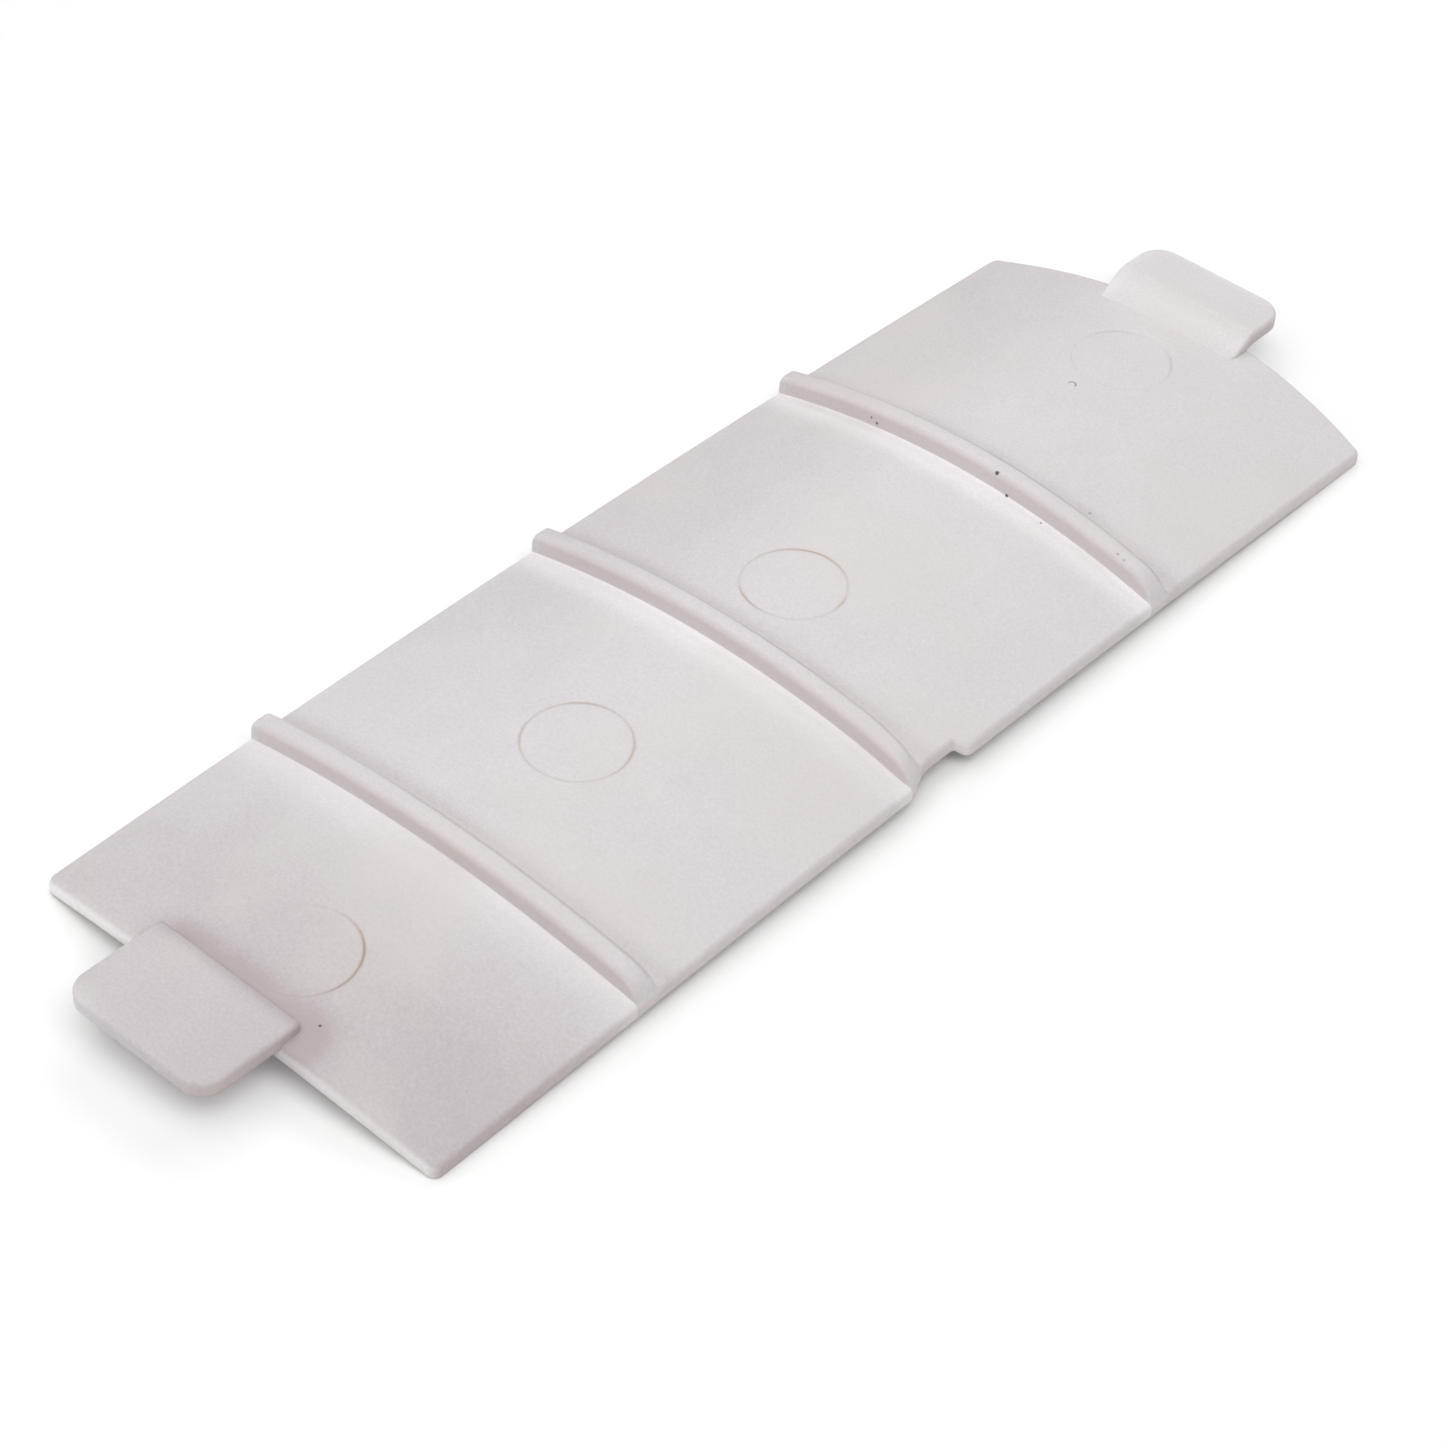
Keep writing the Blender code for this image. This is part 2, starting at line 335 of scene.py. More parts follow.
def ringOrder(rows, columns):
    # The outer ring of a grid as (row, column) pairs, anticlockwise from its near left corner
    up, across = np.arange(rows), np.arange(columns)
    row = np.concatenate([0 * across, up[1:], 0 * across[1:] + rows - 1, up[-2:0:-1]])
    column = np.concatenate([across, 0 * up[1:] + columns - 1, across[-2::-1], 0 * up[1:-1]])
    return np.stack([row, column], axis=1)


def newShell():
    # Points, faces and surface values, block by block
    return {"points": [], "faces": [], "brownMix": [], "tone": [], "blush": [], "count": 0}


def addPoints(shell, x, y, z, tone, brownMix=0, blush=0):
    # Adds a block of points with its surface values, and gives back its vertex numbers
    numbers = shell["count"] + np.arange(x.size).reshape(x.shape)
    shell["points"].append(np.stack([x, y, z], axis=-1).reshape(-1, 3))
    for label, value in (("tone", tone), ("brownMix", brownMix), ("blush", blush)):
        shell[label].append((value + 0 * x).reshape(-1))
    shell["count"] += x.size
    return numbers


def meshObject(name, shell):
    # Joins the blocks into one mesh, with each surface value as a point attribute
    mesh = bpy.data.meshes.new(name)
    faces = [face for block in shell["faces"] for face in block.tolist()]
    mesh.from_pydata(np.concatenate(shell["points"]).tolist(), [], faces)
    for label in ("brownMix", "tone", "blush"):
        layer = mesh.attributes.new(label, "FLOAT", "POINT")
        layer.data.foreach_set("value", np.concatenate(shell[label]).astype(np.float32))
    mesh.validate()
    mesh.shade_smooth()
    piece = bpy.data.objects.new(name, mesh)
    bpy.context.scene.collection.objects.link(piece)
    return piece


def ringStain(number, angle):
    # Faint all round, with a bell curve of the heading for each darker arc
    faint, arcs = pinMarks["stains"][number]
    heading = np.degrees(angle)
    stain = faint + 0 * angle
    for centre, halfWidth, strength in arcs:
        apart = (heading - centre + 180) % 360 - 180
        stain = stain + strength * np.exp(-(apart / halfWidth) ** 2)
    return stain.clip(0, 1)


def addPinMark(shell, number, outer):
    # Rings from a square of the grid in to a point, on the strip's surface less a bell-curve groove
    # and a flat sink inside it
    centre, radius = pinMarks["centres"][number], pinMarks["radius"]
    square = shell["points"][0][outer]
    angle = np.arctan2(square[:, 1] - centre[1], square[:, 0] - centre[0])
    r = radius * np.array(pinMarks["rings"])[:, None]
    x = centre[0] + r * np.cos(angle)
    y = centre[1] + r * np.sin(angle)
    off = (r - radius) / pinMarks["grooveWidth"]
    sunk = smoothStep(-off / pinMarks["sinkWidth"])
    dip = pinMarks["groove"] * np.exp(-off * off) + pinMarks["sink"] * sunk
    stain = np.exp(-(off / pinMarks["stainWidth"]) ** 2) * ringStain(number, angle)
    numbers = addPoints(shell, x, y, stripTop(x, y) - dip, plateTone(x, y), stain)
    shell["faces"].append(loopFaces(numbers[0], outer))
    shell["faces"] += [loopFaces(numbers[k + 1], numbers[k]) for k in range(len(numbers) - 1)]
    x, y = np.array([centre[0]]), np.array([centre[1]])
    middle = addPoints(shell, x, y, stripTop(x, y) - pinMarks["sink"], plateTone(x, y))
    last = numbers[-1]
    shell["faces"].append(np.stack([last, np.roll(last, -1), middle[0] + 0 * last], axis=-1))


def borderPath(index, heights, normalX, normalY):
    # The grid's outer ring, with a fan of normals at each corner: vertex numbers, normals,
    # rib heights and edge radii
    rows, cols = index.shape
    r, c = ringOrder(rows, cols).T
    lastRow, lastCol, steps = rows - 1, cols - 1, strip["cornerSteps"]
    inner = (c > 0) & (c < lastCol)
    outX = np.where(c == lastCol, normalX[r], 0) + np.where(c == 0, -1.0, 0)
    outY = np.where(c == lastCol, normalY[r], 0) + np.where((r == 0) & inner, -1.0, 0)
    outY = outY + np.where((r == lastRow) & inner, 1.0, 0)
    side = np.where(c == 0, strip["leftRadius"], strip["rightRadius"])
    side = np.where((r == 0) & inner, strip["nearRadius"], side)
    side = np.where((r == lastRow) & inner, strip["farRadius"], side)
    ribHeight = np.where(inner, 0, heights[r])
    numbers, turnX, turnY, height, radius = [], [], [], [], []
    cuts = np.cumsum([0, lastCol, lastRow, lastCol, lastRow])
    for at, stop, heading in zip(cuts[:-1], cuts[1:], (180, 270, 0, 90)):
        turn = np.radians(np.linspace(heading, heading + 90, steps + 1))
        span = np.arange(at + 1, stop)
        numbers += [np.full(steps + 1, index[r[at], c[at]]), index[r[span], c[span]]]
        turnX += [np.cos(turn), outX[span]]
        turnY += [np.sin(turn), outY[span]]
        height += [np.zeros(steps + 1), ribHeight[span]]
        radius += [np.linspace(side[at - 1], side[at + 1], steps + 1), side[span]]
    return [np.concatenate(part) for part in (numbers, turnX, turnY, height, radius)]


def borderSection(radius, depth):
    # Out and down at each point: flat, a quarter circle over, straight down, a small quarter circle under
    rim, under = strip["rim"], strip["underRadius"]
    share = np.array(strip["shares"])[:, None]
    over = np.radians(np.linspace(0, 90, strip["edgeSteps"]))[:, None]
    below = np.radians(np.linspace(0, 90, strip["underSteps"]))[:, None]
    outs = [share * (rim - radius), rim - radius + radius * np.sin(over),
            rim + 0 * share * radius, rim - under + under * np.cos(below) + 0 * radius]
    drops = [0 * share * radius, radius * (1 - np.cos(over)),
             radius + (depth - under - radius) * share, depth - under + under * np.sin(below)]
    return np.concatenate(outs), np.concatenate(drops)


def borderLightAndEdge(x, y, outX, outY, height):
    # Tone, brown and pink from the share of the way over the edge, and from the side it is on; on the walls
    # the tone is painted light and shade, and the pink goes with it
    share = np.linspace(0, 1, len(x))[:, None] + 0 * x
    onNear, onRight = np.clip(-outY, 0, 1), np.clip(outX, 0, 1)
    start, length, amount = paintedLightAndEdge["nearLowEdgeBrown"]
    lowEdgeBrown = paintedLightAndEdge["lowEdgeBrown"] + amount * onNear * smoothStep((start - x) / length) + paintedLightAndEdge["rightLowEdgeBrown"] * onRight
    brownMix = smoothStep((share - paintedLightAndEdge["lowEdgeBrownFrom"][0]) / paintedLightAndEdge["lowEdgeBrownFrom"][1]) * lowEdgeBrown
    onWall = smoothStep((share - paintedLightAndEdge["wallFrom"][0]) / paintedLightAndEdge["wallFrom"][1])
    start, length, amount = paintedLightAndEdge["rightWallShade"]
    right = paintedLightAndEdge["rightWall"] - amount * smoothStep((-y - start) / length)
    tone = plateTone(x, y, height + 0 * x) + (paintedLightAndEdge["nearWall"] * onNear + right * onRight) * onWall
    return tone, brownMix, onWall * (paintedLightAndEdge["nearBlush"] * onNear + paintedLightAndEdge["rightBlush"] * onRight)


def buildStrip():
    # Rows and columns bowed with the ribs, and lifted to the crowned surface plus the rib height
    print("strip: crowned top and ribs")
    places, heights, markRows = stripRows()
    columns, markColumn = stripColumns()
    x, p = np.meshgrid(columns, places)
    y = p + rowBow(p) * (1 - (x / strip["halfWidth"]) ** 2)

    # The right edge is drawn in around the gate pocket
    outX, outY, normalX, normalY = rightOutline(places)
    edge = strip["halfWidth"] - strip["rim"]
    shiftX = outX - strip["rim"] * normalX - edge
    shiftY = outY - strip["rim"] * normalY - places
    pull = smoothStep((x - (edge - pocket["reach"])) / pocket["reach"])
    ribEnd = ribEndFactor(x)
    x = x + shiftX[:, None] * pull
    y = y + shiftY[:, None] * pull
    z = stripTop(x, y) + heights[:, None] * ribEnd
    shade, blush = ribTone(places, heights, x)
    shell = newShell()
    index = addPoints(shell, x, y, z, plateTone(x, y, heights[:, None] + 0 * x) + shade, 0, blush)

    print("strip: pin marks")
    cells = pinMarks["cells"]
    used = np.ones((len(places) - 1, len(columns) - 1), bool)
    r, c = ringOrder(cells + 1, cells + 1).T
    for number, firstRow in enumerate(markRows):
        used[firstRow:firstRow + cells, markColumn:markColumn + cells] = False
        addPinMark(shell, number, index[r + firstRow, c + markColumn])
    shell["faces"].append(gridFaces(index)[used.reshape(-1)])

    # Each point of the outer ring is carried outward over the edge and down to the underside
    print("strip: border")
    ring, turnX, turnY, height, radius = borderPath(index, heights, normalX, normalY)
    base = shell["points"][0][ring]
    onLeft = base[:, 0] < 0
    radius = radius + (ribs["leftRadius"] - radius) * (onLeft * height / ribs["height"])
    outs, drops = borderSection(radius, strip["wall"] + height * onLeft)
    bandX = base[:, 0] + turnX * outs
    bandY = base[:, 1] + turnY * outs
    ribEnd = ribEndFactor(np.where(base[:, 0] > 0, edge, -edge) + turnX * outs)
    bandZ = np.maximum(stripTop(bandX, bandY) + height * ribEnd - drops, strip["lowest"])
    band = addPoints(shell, bandX, bandY, bandZ, *borderLightAndEdge(bandX, bandY, turnX, turnY, height))
    shell["faces"] += cleanFaces(loopFaces(ring, band[0]))
    shell["faces"] += [loopFaces(band[k], band[k + 1]) for k in range(len(band) - 1)]

    # The same grid one wall thickness lower, without ribs or marks
    print("strip: underside")
    low = addPoints(shell, x, y, stripTop(x, y) - strip["wall"], 1.0)
    shell["faces"].append(gridFaces(low)[:, ::-1])
    shell["faces"] += cleanFaces(loopFaces(band[-1], low.reshape(-1)[ring]))

    piece = meshObject("moulded_strip", shell)
    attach(piece, "root")
    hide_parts("crowned_strip", "near_rib", "middle_rib", "far_rib")
    return piece


# Inner, outer, crest and tone places along the strip are distances from its middle
tabs = {
    "near": {
        "node": "near_tab",
        "outward": -1,
        "left": -0.0100,
        "right": 0.0066,
        "inner": 0.0630,
        "outer": 0.0738,
        "crest": None,           # flat all over
        "top": 0.00500,
        "cornerRadius": 0.0023,
        "edge": 0.0004,
        "thickness": 0.0014,
        # painted shade: the near tab darker than the far one
        "tone": 0.86,
        "rightSideShade": (-0.006, 0.012, 0.06),   # painted shade toward the right: where it starts, over what length, how much
        "innerShade": (0.0009, 0.20),          # painted shade along the inner edge: reach and strength
        # painted light along the outer edge, toward the left
        "outerLight": (0.0012, 0.08),
        "outerLightLeft": (0.004, 0.004),
    },
    "far": {
        "node": "far_tab",
        "outward": 1,
        "left": -0.0097,
        "right": 0.0069,
        "inner": 0.0640,
        "outer": 0.0738,
        "crest": 0.0684,         # where the S from the strip reaches the flat
        "top": 0.00560,
        "cornerRadius": 0.0028,
        "edge": 0.0004,
        "thickness": 0.00135,
        "tone": 0.96,
        "slopeLight": (0.0662, 0.0011, 0.08),      # painted light on the slope: place, reach, strength
        "rim": (0.0008, 0.0012, 0.08),        # painted light along the rim: reach in from the outer edge and the left edge, strength
    },
}
tabGrid = {
    "rows": 44,
    "cornerRows": 12,
    "columns": 61,
    "fanSteps": 5,
    "edgeSteps": 7,
    "wallSteps": 6,
    "start": 0.00002,            # how far under the strip's surface the S starts
    "blushStart": 0.1,           # pink at the top of the wall, against the bottom
    "blushPower": 4,             # keeps the pink to the right wall
    "brownMix": 0.18,
}


def tabTop(tab, x, y):
    # Flat, or an S from the strip's surface up to the flat
    if tab["crest"] is None:
        return tab["top"] + 0 * x
    rise = smoothStep((y - tab["inner"]) / (tab["crest"] - tab["inner"]))
    surface = stripTop(x, y) - tabGrid["start"]
    return surface + rise * (tab["top"] - surface)


def tabTone(tab, x, y):
    # Painted light and shade in bell curves: the near tab is darker to the right, darkest at its inner edge
    # and lighter at its outer left, the far tab brighter on its slope and rim
    if tab["crest"] is None:
        reach, dull = tab["innerShade"]
        inner = np.exp(-((y - tab["inner"]) / reach) ** 2)
        reach, amount = tab["outerLight"]
        start, length = tab["outerLightLeft"]
        outer = amount * np.exp(-((y - tab["outer"]) / reach) ** 2) * smoothStep((-x - start) / length)
        start, length, amount = tab["rightSideShade"]
        return tab["tone"] - amount * smoothStep((x - start) / length) - dull * inner + outer
    place, reach, amount = tab["slopeLight"]
    slopeLight = amount * np.exp(-((y - place) / reach) ** 2)
    outReach, leftReach, amount = tab["rim"]
    rim = np.exp(-((y - tab["outer"]) / outReach) ** 2) + np.exp(-((x - tab["left"]) / leftReach) ** 2)
    return tab["tone"] + slopeLight + amount * np.clip(rim, 0, 1)


def tabPath(index, rowTurn):
    # The tab's outer ring, with a fan of normals at each inner corner: vertex numbers and normals
    rows, cols = index.shape
    r, c = ringOrder(rows, cols).T
    normalX = np.where(c == cols - 1, np.cos(rowTurn[r]), 0) - np.where(c == 0, np.cos(rowTurn[r]), 0)
    normalY = np.where(r == 0, -1.0, np.where(r == rows - 1, 1.0, np.sin(rowTurn[r])))
    fan = np.radians(np.linspace(0, 90, tabGrid["fanSteps"]))
    inner = (r == 0) & ((c == 0) | (c == cols - 1))
    order = np.repeat(np.arange(len(r)), np.where(inner, len(fan), 1))
    turn = np.zeros(len(order))
    turn[inner[order]] = np.tile(fan, 2)
    onLeft = c[order] == 0
    fanX = np.where(onLeft, -np.cos(turn), np.sin(turn))
    fanY = np.where(onLeft, -np.sin(turn), -np.cos(turn))
    turnX = np.where(inner[order], fanX, normalX[order])
    turnY = np.where(inner[order], fanY, normalY[order])
    return index[r[order], c[order]], turnX, turnY


def buildTab(key):
    # Rows run outward, and narrow as a quarter circle at the two outer corners
    print("tab:", key)
    tab = tabs[key]
    edge, corner, outward = tab["edge"], tab["cornerRadius"], tab["outward"]
    half = (tab["right"] - tab["left"]) / 2
    middle = (tab["right"] + tab["left"]) / 2
    straight = np.linspace(tab["inner"] + edge, tab["outer"] - corner, tabGrid["rows"])
    turn = np.radians(np.linspace(0, 90, tabGrid["cornerRows"] + 1)[1:])
    rowY = np.concatenate([straight, tab["outer"] - corner + (corner - edge) * np.sin(turn)])
    rowHalf = np.concatenate([0 * straight + half - edge, half - corner + (corner - edge) * np.cos(turn)])
    x = middle + np.linspace(-1, 1, tabGrid["columns"]) * rowHalf[:, None]
    y = outward * (rowY[:, None] + 0 * x)
    z = tabTop(tab, x, y * outward)
    shell = newShell()
    index = addPoints(shell, x, y, z, tabTone(tab, x, y * outward))
    shell["faces"].append(gridFaces(index))

    # Over the edge as a quarter circle, and straight down the wall
    ring, turnX, turnY = tabPath(index, np.concatenate([0 * straight, turn]))
    base = shell["points"][0][ring]
    over = np.radians(np.linspace(0, 90, tabGrid["edgeSteps"] + 1)[1:])
    share = np.linspace(0, 1, tabGrid["wallSteps"] + 1)[1:]
    outs = np.concatenate([edge * np.sin(over), edge + 0 * share])[:, None]
    drops = np.concatenate([edge * (1 - np.cos(over)), edge + (tab["thickness"] - edge) * share])[:, None]
    bandX = base[:, 0] + turnX * outs
    bandY = base[:, 1] + outward * turnY * outs
    bandZ = tabTop(tab, bandX, bandY * outward) - drops
    # pink painted on the tab's shaded right wall, with brown toward its bottom
    down = np.linspace(tabGrid["blushStart"], 1, len(outs))[:, None]
    blush = down * np.clip((bandX - middle) / half, 0, 1) ** tabGrid["blushPower"]
    brownMix = tabGrid["brownMix"] * down * blush
    band = addPoints(shell, bandX, bandY, bandZ, tabTone(tab, bandX, bandY * outward), brownMix, blush)
    shell["faces"] += cleanFaces(loopFaces(ring, band[0]))
    shell["faces"] += [loopFaces(band[k], band[k + 1]) for k in range(len(band) - 1)]

    # The underside is the same grid one thickness lower
    low = addPoints(shell, x, y, z - tab["thickness"], tabTone(tab, x, y * outward))
    shell["faces"].append(gridFaces(low)[:, ::-1])
    shell["faces"] += cleanFaces(loopFaces(band[-1], low.reshape(-1)[ring]))
    if outward < 0:
        shell["faces"] = [block[:, ::-1] for block in shell["faces"]]   # the rows run the other way here
    piece = meshObject("moulded_" + tab["node"], shell)
    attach(piece, "root")
    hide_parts(tab["node"])
    return piece


finish = {
    "dull": (0.466, 0.413, 0.425, 1),        # at the lowest tone
    "bright": (0.885, 0.868, 0.877, 1),      # at the highest tone
    "tones": (0.65, 1.30),
    "beige": (0.67, 0.635, 0.60, 1),
    "blush": (0.63, 0.52, 0.505, 1),
    "blushShare": 0.5,
    "stain": (0.27, 0.145, 0.075, 1),
    "speck": (0.04, 0.035, 0.035, 1),
    "index": 1.46,
    "rough": (0.42, 0.58),
    "cloud": (160.0, 3.0, 0.6),              # noises: scale, detail, roughness
    "speckle": (3200.0, 2.0, 0.7),
    "grain": (9000.0, 2.0, 0.6),
    "patch": (75.0, 2.0, 0.5),
    "mottleAmount": 0.05,
    "speckleAmount": 0.13,
    "patchSpan": (0.50, 0.70),
    "patchAmount": 0.45,
    "bump": (0.12, 0.00002),                 # strength and depth
    "specks": [((0.00348, 0.03028, 0.00682), 0.00024, 0.97),   # centre, radius, strength
               ((0.00510, 0.03003, 0.00515), 0.00020, 0.95), ((0.00963, 0.02953, 0.0047), 0.00013, 0.8),
               ((-0.01088, 0.02996, 0.00505), 0.00018, 0.85), ((-0.01160, 0.02998, 0.00535), 0.00015, 0.75),
               ((0.00728, -0.0617, 0.0041), 0.00019, 0.97), ((0.00222, 0.03218, 0.00673), 0.00015, 0.4),
               ((0.00784, 0.03215, 0.00640), 0.00014, 0.35), ((0.0118, 0.0344, 0.00435), 0.0002, 0.35),
               ((0.0114, 0.0320, 0.0063), 0.00014, 0.3), ((0.01796, 0.03041, 0.00529), 0.00018, 0.4),
               ((0.01878, 0.03027, 0.00512), 0.00015, 0.35), ((-0.0097, 0.0117, 0.0059), 0.00014, 0.35),
               ((0.0017, 0.0638, 0.0044), 0.00013, 0.35)],
    "speckEdge": (0.6, 1.9),                 # a core of this share of the radius, gone at this many cores
    "hair": ((-0.00155, 0.04895, 0.00503), 0.00052, 0.00007),   # hooked: centre, radius, half its thickness
    "hairEdge": 1.5,
    "hairStrength": 0.6,
    "hairCut": 8,                            # cut off below its centre, at the radius divided by this
}


def newNode(tree, kind, **inputs):
    # A node with the given values on its sockets
    node = tree.nodes.new(kind)
    for label, value in inputs.items():
        node.inputs[label].default_value = value
    return node


def mathNode(tree, operation, first, second):
    # First and second joined by one operation; each is a number or another node's output
    node = tree.nodes.new("ShaderNodeMath")
    node.operation = operation
    for socket, value in zip(node.inputs, (first, second)):
        if isinstance(value, (int, float)):
            socket.default_value = value
        else:
            tree.links.new(value, socket)
    return node.outputs[0]


def clampNode(tree, value):
    # The value held between nothing and one
    return mathNode(tree, "MINIMUM", mathNode(tree, "MAXIMUM", value, 0.0), 1.0)


def mixNode(tree, first, second, factor):
    # First blended into second by the factor
    node = tree.nodes.new("ShaderNodeMix")
    node.data_type = "RGBA"
    for label, value in (("A", first), ("B", second)):
        if isinstance(value, tuple):
            node.inputs[label].default_value = value
        else:
            tree.links.new(value, node.inputs[label])
    tree.links.new(factor, node.inputs["Factor"])
    return node.outputs["Result"]


def rangeNode(tree, value, **inputs):
    # The value carried from one span of numbers to another in a straight line
    node = newNode(tree, "ShaderNodeMapRange", **inputs)
    tree.links.new(value, node.inputs["Value"])
    return node.outputs["Result"]


def noiseNode(tree, place, name):
    # Soft noise around a half, at the finish's scale of that name
    scale, detail, roughness = finish[name]
    node = newNode(tree, "ShaderNodeTexNoise", Scale=scale, Detail=detail, Roughness=roughness)
    tree.links.new(place, node.inputs["Vector"])
    return node.outputs["Fac"]


def scaledNoise(tree, noise, amount):
    # (noise - half) * twice the amount
    return mathNode(tree, "MULTIPLY", mathNode(tree, "SUBTRACT", noise, 0.5), 2 * amount)


def readAttribute(tree, label):
    # A surface value that the mesh carries at each point
    node = tree.nodes.new("ShaderNodeAttribute")
    node.attribute_name = label
    return node.outputs["Fac"]


def spanNode(tree, place, centre):
    # Straight distance from a fixed point
    node = tree.nodes.new("ShaderNodeVectorMath")
    node.operation = "DISTANCE"
    node.inputs[1].default_value = centre
    tree.links.new(place, node.inputs[0])
    return node.outputs["Value"]


def speckMask(tree, place):
    # Each speck is solid at its centre and fades outward; the hair is the upper part of a thin ring
    total = None
    core, gone = finish["speckEdge"]
    for centre, radius, strength in finish["specks"]:
        fall = mathNode(tree, "DIVIDE", spanNode(tree, place, centre), radius * core)
        mask = mathNode(tree, "MULTIPLY", clampNode(tree, mathNode(tree, "SUBTRACT", gone, fall)), strength)
        total = mask if total is None else mathNode(tree, "MAXIMUM", total, mask)
    centre, radius, halfThick = finish["hair"]
    apart = mathNode(tree, "SUBTRACT", spanNode(tree, place, centre), radius)
    fall = mathNode(tree, "DIVIDE", mathNode(tree, "ABSOLUTE", apart, 0), halfThick)
    hair = clampNode(tree, mathNode(tree, "SUBTRACT", finish["hairEdge"], fall))
    split = tree.nodes.new("ShaderNodeSeparateXYZ")
    tree.links.new(place, split.inputs["Vector"])
    upper = mathNode(tree, "GREATER_THAN", split.outputs["Y"], centre[1] - radius / finish["hairCut"])
    hair = mathNode(tree, "MULTIPLY", mathNode(tree, "MULTIPLY", hair, upper), finish["hairStrength"])
    return mathNode(tree, "MAXIMUM", total, hair)


def whiteMoulding():
    # White by tone, which carries painted light and shade, stirred by mottle and grain, then beige patches,
    # pink painted with the walls' shade, the brown of stains and lower edges, and specks laid over
    print("material")
    material = bpy.data.materials.new("satinWhiteMoulding")
    material.use_nodes = True
    tree = material.node_tree
    shader = tree.nodes["Principled BSDF"]
    shader.inputs["Metallic"].default_value = 0.0
    shader.inputs["IOR"].default_value = finish["index"]
    place = tree.nodes.new("ShaderNodeTexCoord").outputs["Object"]
    cloud = noiseNode(tree, place, "cloud")
    speckle = scaledNoise(tree, noiseNode(tree, place, "speckle"), finish["speckleAmount"])
    mottle = scaledNoise(tree, cloud, finish["mottleAmount"])
    tone = mathNode(tree, "ADD", readAttribute(tree, "tone"), mottle)
    tone = mathNode(tree, "ADD", tone, speckle)
    low, high = finish["tones"]
    share = rangeNode(tree, tone, **{"From Min": low, "From Max": high})
    colour = mixNode(tree, finish["dull"], finish["bright"], share)
    low, high = finish["patchSpan"]
    patch = rangeNode(tree, noiseNode(tree, place, "patch"),
                      **{"From Min": low, "From Max": high, "To Max": finish["patchAmount"]})
    colour = mixNode(tree, colour, finish["beige"], patch)
    # pink painted on the walls and rib sides along with their shade
    pink = mathNode(tree, "MULTIPLY", readAttribute(tree, "blush"), finish["blushShare"])
    colour = mixNode(tree, colour, finish["blush"], pink)
    colour = mixNode(tree, colour, finish["stain"], readAttribute(tree, "brownMix"))
    colour = mixNode(tree, colour, finish["speck"], speckMask(tree, place))
    tree.links.new(colour, shader.inputs["Base Color"])
    strength, depth = finish["bump"]
    bump = newNode(tree, "ShaderNodeBump", Strength=strength, Distance=depth)
    tree.links.new(noiseNode(tree, place, "grain"), bump.inputs["Height"])
    tree.links.new(bump.outputs["Normal"], shader.inputs["Normal"])
    low, high = finish["rough"]
    tree.links.new(rangeNode(tree, cloud, **{"To Min": low, "To Max": high}), shader.inputs["Roughness"])
    return material


studio = {
    "cameraPlace": (0.15371, -0.19515, 0.21729),
    "cameraRight": (0.74783668, 0.66187332, 0.05161411),
    "cameraUp": (-0.47447242, 0.47847758, 0.73887423),
    "lens": 89.79,
    "sensor": 36,
    "nearest": 0.01,
    "sky": 0.05,
    "floorSize": 3.0,
    "floorColour": (0.97, 0.975, 0.97, 1),
    "floorRough": 0.9,
    "lampDistance": 1.2,
    "lampSize": 0.7,
    "lamps": [(90, 12, 0.7), (180, 12, 1.5), (225, 12, 3.1), (0, 35, 0.9), (225, 35, 0.6),
              (315, 35, 1.4), (0, 62, 1.1), (180, 62, 0.75), (225, 62, 1.3),
              (315, 62, 3.3)],               # heading and height in degrees, watts
    "nearLampHeight": 0.32,
    "nearLampSize": 0.25,
    "nearLampAim": 0.3,                      # aimed at this share of its own distance from the middle
    "nearLamps": [(-0.25, 0, 0.08), (-0.25, 0.30, 0.39), (0, -0.30, 0.20), (0, 0, 0.10), (0, 0.30, 0.27),
                  (0.25, 0, 0.19)],          # x, y, watts
}


def addCamera():
    # The camera's axes are its right, its up and their cross product
    print("camera")
    data = bpy.data.cameras.new("camera")
    data.sensor_width = studio["sensor"]
    data.lens = studio["lens"]
    data.clip_start = studio["nearest"]
    camera = bpy.data.objects.new("camera", data)
    right, up = Vector(studio["cameraRight"]), Vector(studio["cameraUp"])
    turn = Matrix([right, up, right.cross(up)]).transposed().to_4x4()
    camera.matrix_world = Matrix.Translation(studio["cameraPlace"]) @ turn
    bpy.context.scene.collection.objects.link(camera)
    bpy.context.scene.camera = camera


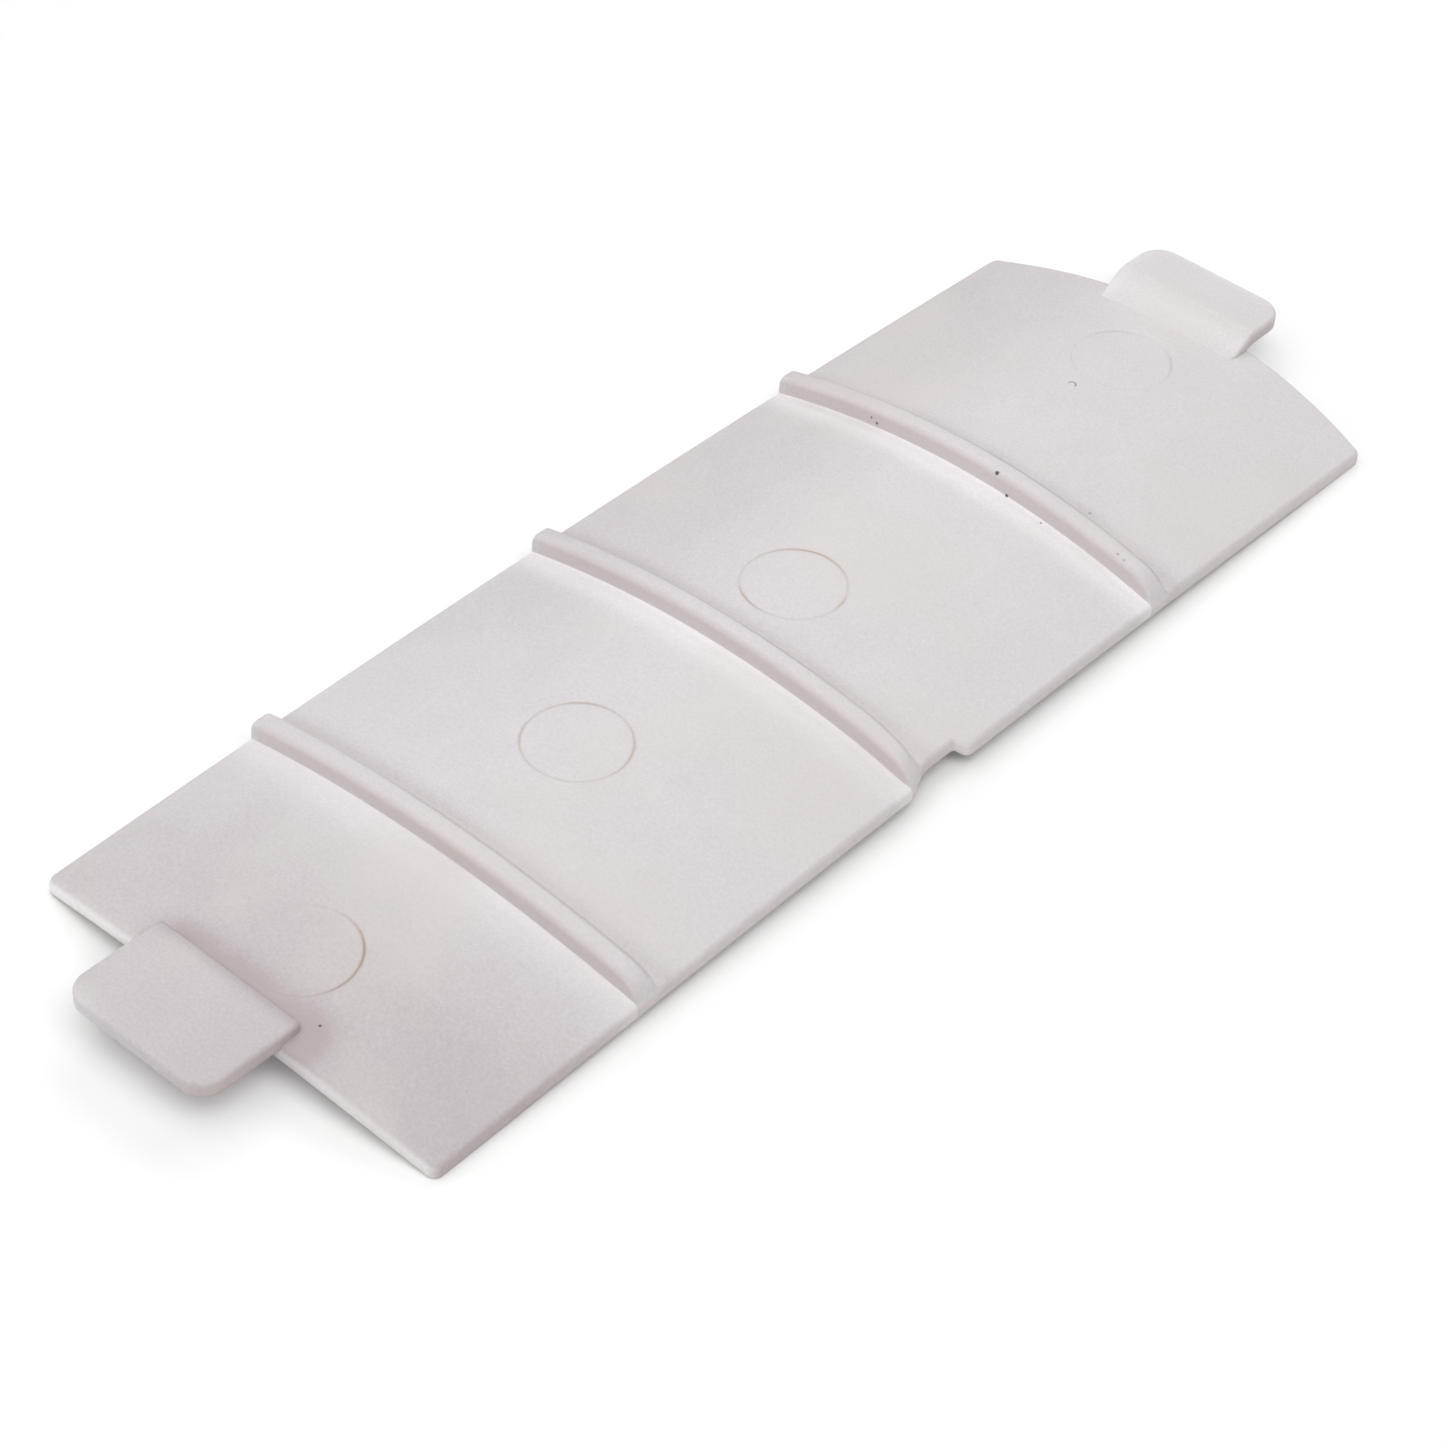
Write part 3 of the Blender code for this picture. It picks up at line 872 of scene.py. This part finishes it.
def addLight(name, place, target, size, power):
    # A white disk lamp that faces its target
    data = bpy.data.lights.new(name, "AREA")
    data.shape = "DISK"
    data.size = size
    data.energy = power
    light = bpy.data.objects.new(name, data)
    aim = Vector(target) - Vector(place)
    light.matrix_world = Matrix.Translation(place) @ aim.to_track_quat("-Z", "Y").to_matrix().to_4x4()
    bpy.context.scene.collection.objects.link(light)


def addStudio():
    # Softboxes on a dome, near lamps on a level above the part, a faint sky and a square floor
    print("lamps and floor")
    world = bpy.data.worlds.new("studio")
    world.use_nodes = True
    background = world.node_tree.nodes["Background"]
    background.inputs["Color"].default_value = (1, 1, 1, 1)
    background.inputs["Strength"].default_value = studio["sky"]
    bpy.context.scene.world = world
    for number, (heading, height, power) in enumerate(studio["lamps"]):
        turn, rise = math.radians(heading), math.radians(height)
        flat = studio["lampDistance"] * math.cos(rise)
        place = (flat * math.cos(turn), flat * math.sin(turn), studio["lampDistance"] * math.sin(rise))
        addLight(f"softbox{number}", place, (0, 0, 0), studio["lampSize"], power)
    share = studio["nearLampAim"]
    for number, (x, y, power) in enumerate(studio["nearLamps"]):
        place = (x, y, studio["nearLampHeight"])
        addLight(f"nearLamp{number}", place, (share * x, share * y, 0), studio["nearLampSize"], power)
    half = studio["floorSize"] / 2
    mesh = bpy.data.meshes.new("floor")
    corners = [(-half, -half, 0), (half, -half, 0), (half, half, 0), (-half, half, 0)]
    mesh.from_pydata(corners, [], [(0, 1, 2, 3)])
    floor = bpy.data.objects.new("floor", mesh)
    bpy.context.scene.collection.objects.link(floor)
    material = bpy.data.materials.new("paleFloor")
    material.use_nodes = True
    shader = material.node_tree.nodes["Principled BSDF"]
    shader.inputs["Base Color"].default_value = studio["floorColour"]
    shader.inputs["Roughness"].default_value = studio["floorRough"]
    mesh.materials.append(material)


addCamera()
moulding = whiteMoulding()
for piece in (buildStrip(), buildTab("near"), buildTab("far")):
    piece.data.materials.append(moulding)
addStudio()
bpy.context.scene.view_settings.view_transform = "Standard"
